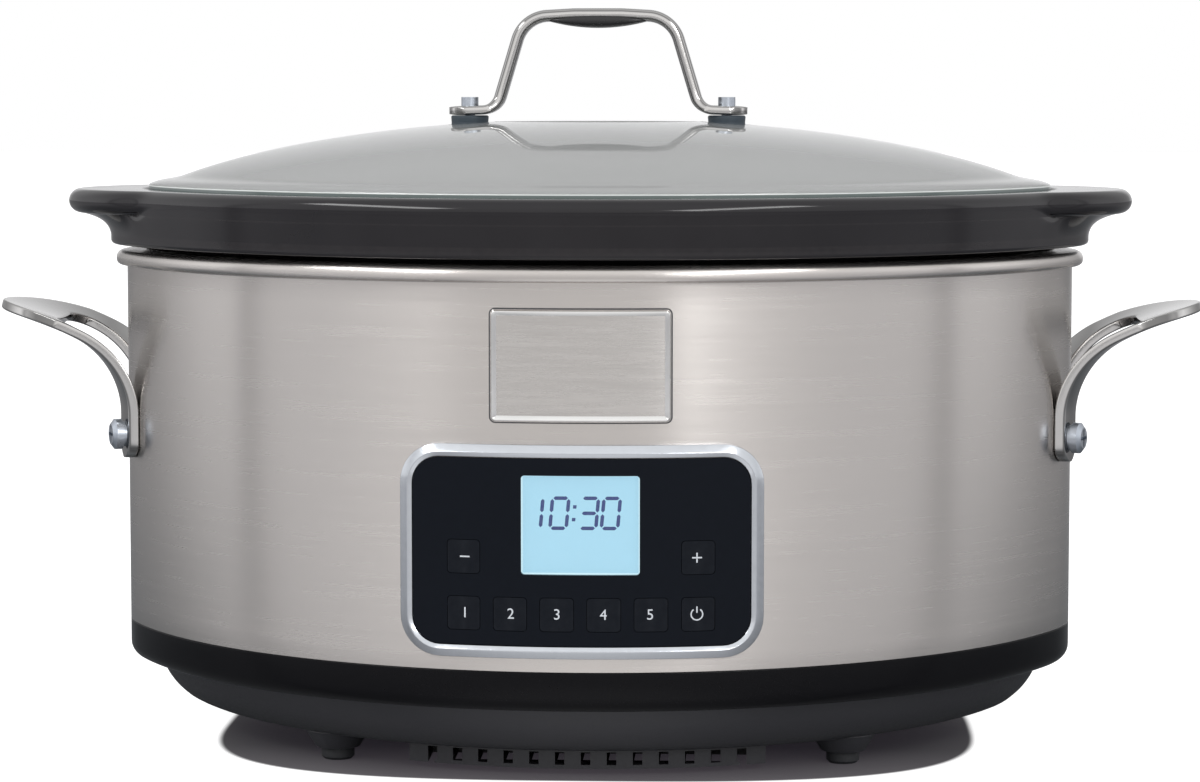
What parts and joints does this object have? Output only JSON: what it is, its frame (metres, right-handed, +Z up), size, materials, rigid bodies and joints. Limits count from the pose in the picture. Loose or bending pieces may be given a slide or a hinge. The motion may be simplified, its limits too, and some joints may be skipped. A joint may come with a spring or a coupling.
{
  "type": "slow cooker",
  "caption": "Oval programmable slow cooker with a steel-clad heated base, side handles, a front control panel, a lift-out stoneware crock and a domed glass lid with a bow handle.",
  "frame": {"origin": "on the worktop under the middle of the base", "axes": "+X along the oval, +Z up, the control panel faces -Y"},
  "size_m": [0.4556, 0.288, 0.2738],
  "materials": {
    "brushed_shell": "brushed",
    "brushed_plate": "brushed",
    "polished_steel": "polished",
    "plated_steel": "satin",
    "well_aluminium": "satin",
    "heater_mica": "matte",
    "brass_parts": "satin",
    "ceramic_white": "matte",
    "gloss_black": "gloss",
    "matt_black": "matte",
    "key_black": "satin",
    "satin_silver": "satin",
    "foot_rubber": "matte",
    "board_green": "satin",
    "clear_window": "gloss",
    "display_blue": "satin",
    "crock_glaze": "gloss",
    "lid_glass": "gloss",
    "spacer_silicone": "matte"
  },
  "bodies": {
    "housing": {"outer_shell": "brushed_shell", "heating_well": "well_aluminium", "heater_band": "heater_mica", "band_clamp": "plated_steel", "heater_terminals": "ceramic_white", "thermal_fuse": "brass_parts", "temperature_sensor": "brass_parts", "heat_shield": "well_aluminium", "tie_bolts": "plated_steel", "tie_spacers": "plated_steel", "base_ring": "gloss_black", "base_pan": "matt_black", "vent_cover": "matt_black", "foot_front_left": "foot_rubber", "foot_front_right": "foot_rubber", "foot_rear_left": "foot_rubber", "foot_rear_right": "foot_rubber", "cord_gland": "foot_rubber", "terminal_block": "ceramic_white", "power_board": "board_green", "relay": "matt_black", "transformer": "plated_steel", "board_screws": "plated_steel", "bezel": "satin_silver", "fascia": "gloss_black", "display_window": "clear_window", "display_module": "display_blue", "control_board": "board_green", "key_switches": "matt_black", "panel_tray": "matt_black", "panel_screws": "plated_steel", "name_plate": "brushed_plate", "plate_clips": "plated_steel", "side_handle_left": "polished_steel", "side_handle_right": "polished_steel", "handle_screws": "plated_steel", "handle_washers": "plated_steel", "handle_nuts": "plated_steel"},
    "crock": {"crock": "crock_glaze"},
    "lid": {"lid_glass": "lid_glass", "lid_handle": "polished_steel", "lid_grip": "matt_black", "lid_spacers": "spacer_silicone", "lid_screws": "plated_steel", "lid_washers": "plated_steel", "lid_nuts": "polished_steel"},
    "key_minus": {"key_minus": "key_black"},
    "key_plus": {"key_plus": "key_black"},
    "key_1": {"key_1": "key_black"},
    "key_2": {"key_2": "key_black"},
    "key_3": {"key_3": "key_black"},
    "key_4": {"key_4": "key_black"},
    "key_5": {"key_5": "key_black"},
    "key_power": {"key_power": "key_black"}
  },
  "joints": [
    {"name": "crock_lift", "type": "slide", "parent": "housing", "child": "crock", "axis": [0, 0, 1], "range_m": [0, 0.14]},
    {"name": "lid_lift", "type": "slide", "parent": "crock", "child": "lid", "axis": [0, 0, 1], "range_m": [0, 0.1]},
    {"name": "press_key_minus", "type": "slide", "parent": "housing", "child": "key_minus", "axis": [0.2094, 0.9778, 0], "range_m": [0, 0.0008], "stiffness_N_per_m": 300},
    {"name": "press_key_plus", "type": "slide", "parent": "housing", "child": "key_plus", "axis": [-0.2094, 0.9778, 0], "range_m": [0, 0.0008], "stiffness_N_per_m": 300},
    {"name": "press_key_1", "type": "slide", "parent": "housing", "child": "key_1", "axis": [0.2094, 0.9778, 0], "range_m": [0, 0.0008], "stiffness_N_per_m": 300},
    {"name": "press_key_2", "type": "slide", "parent": "housing", "child": "key_2", "axis": [0.1256, 0.9921, 0], "range_m": [0, 0.0008], "stiffness_N_per_m": 300},
    {"name": "press_key_3", "type": "slide", "parent": "housing", "child": "key_3", "axis": [0.0419, 0.9991, 0], "range_m": [0, 0.0008], "stiffness_N_per_m": 300},
    {"name": "press_key_4", "type": "slide", "parent": "housing", "child": "key_4", "axis": [-0.0419, 0.9991, 0], "range_m": [0, 0.0008], "stiffness_N_per_m": 300},
    {"name": "press_key_5", "type": "slide", "parent": "housing", "child": "key_5", "axis": [-0.1256, 0.9921, 0], "range_m": [0, 0.0008], "stiffness_N_per_m": 300},
    {"name": "press_key_power", "type": "slide", "parent": "housing", "child": "key_power", "axis": [-0.2094, 0.9778, 0], "range_m": [0, 0.0008], "stiffness_N_per_m": 300}
  ]
}
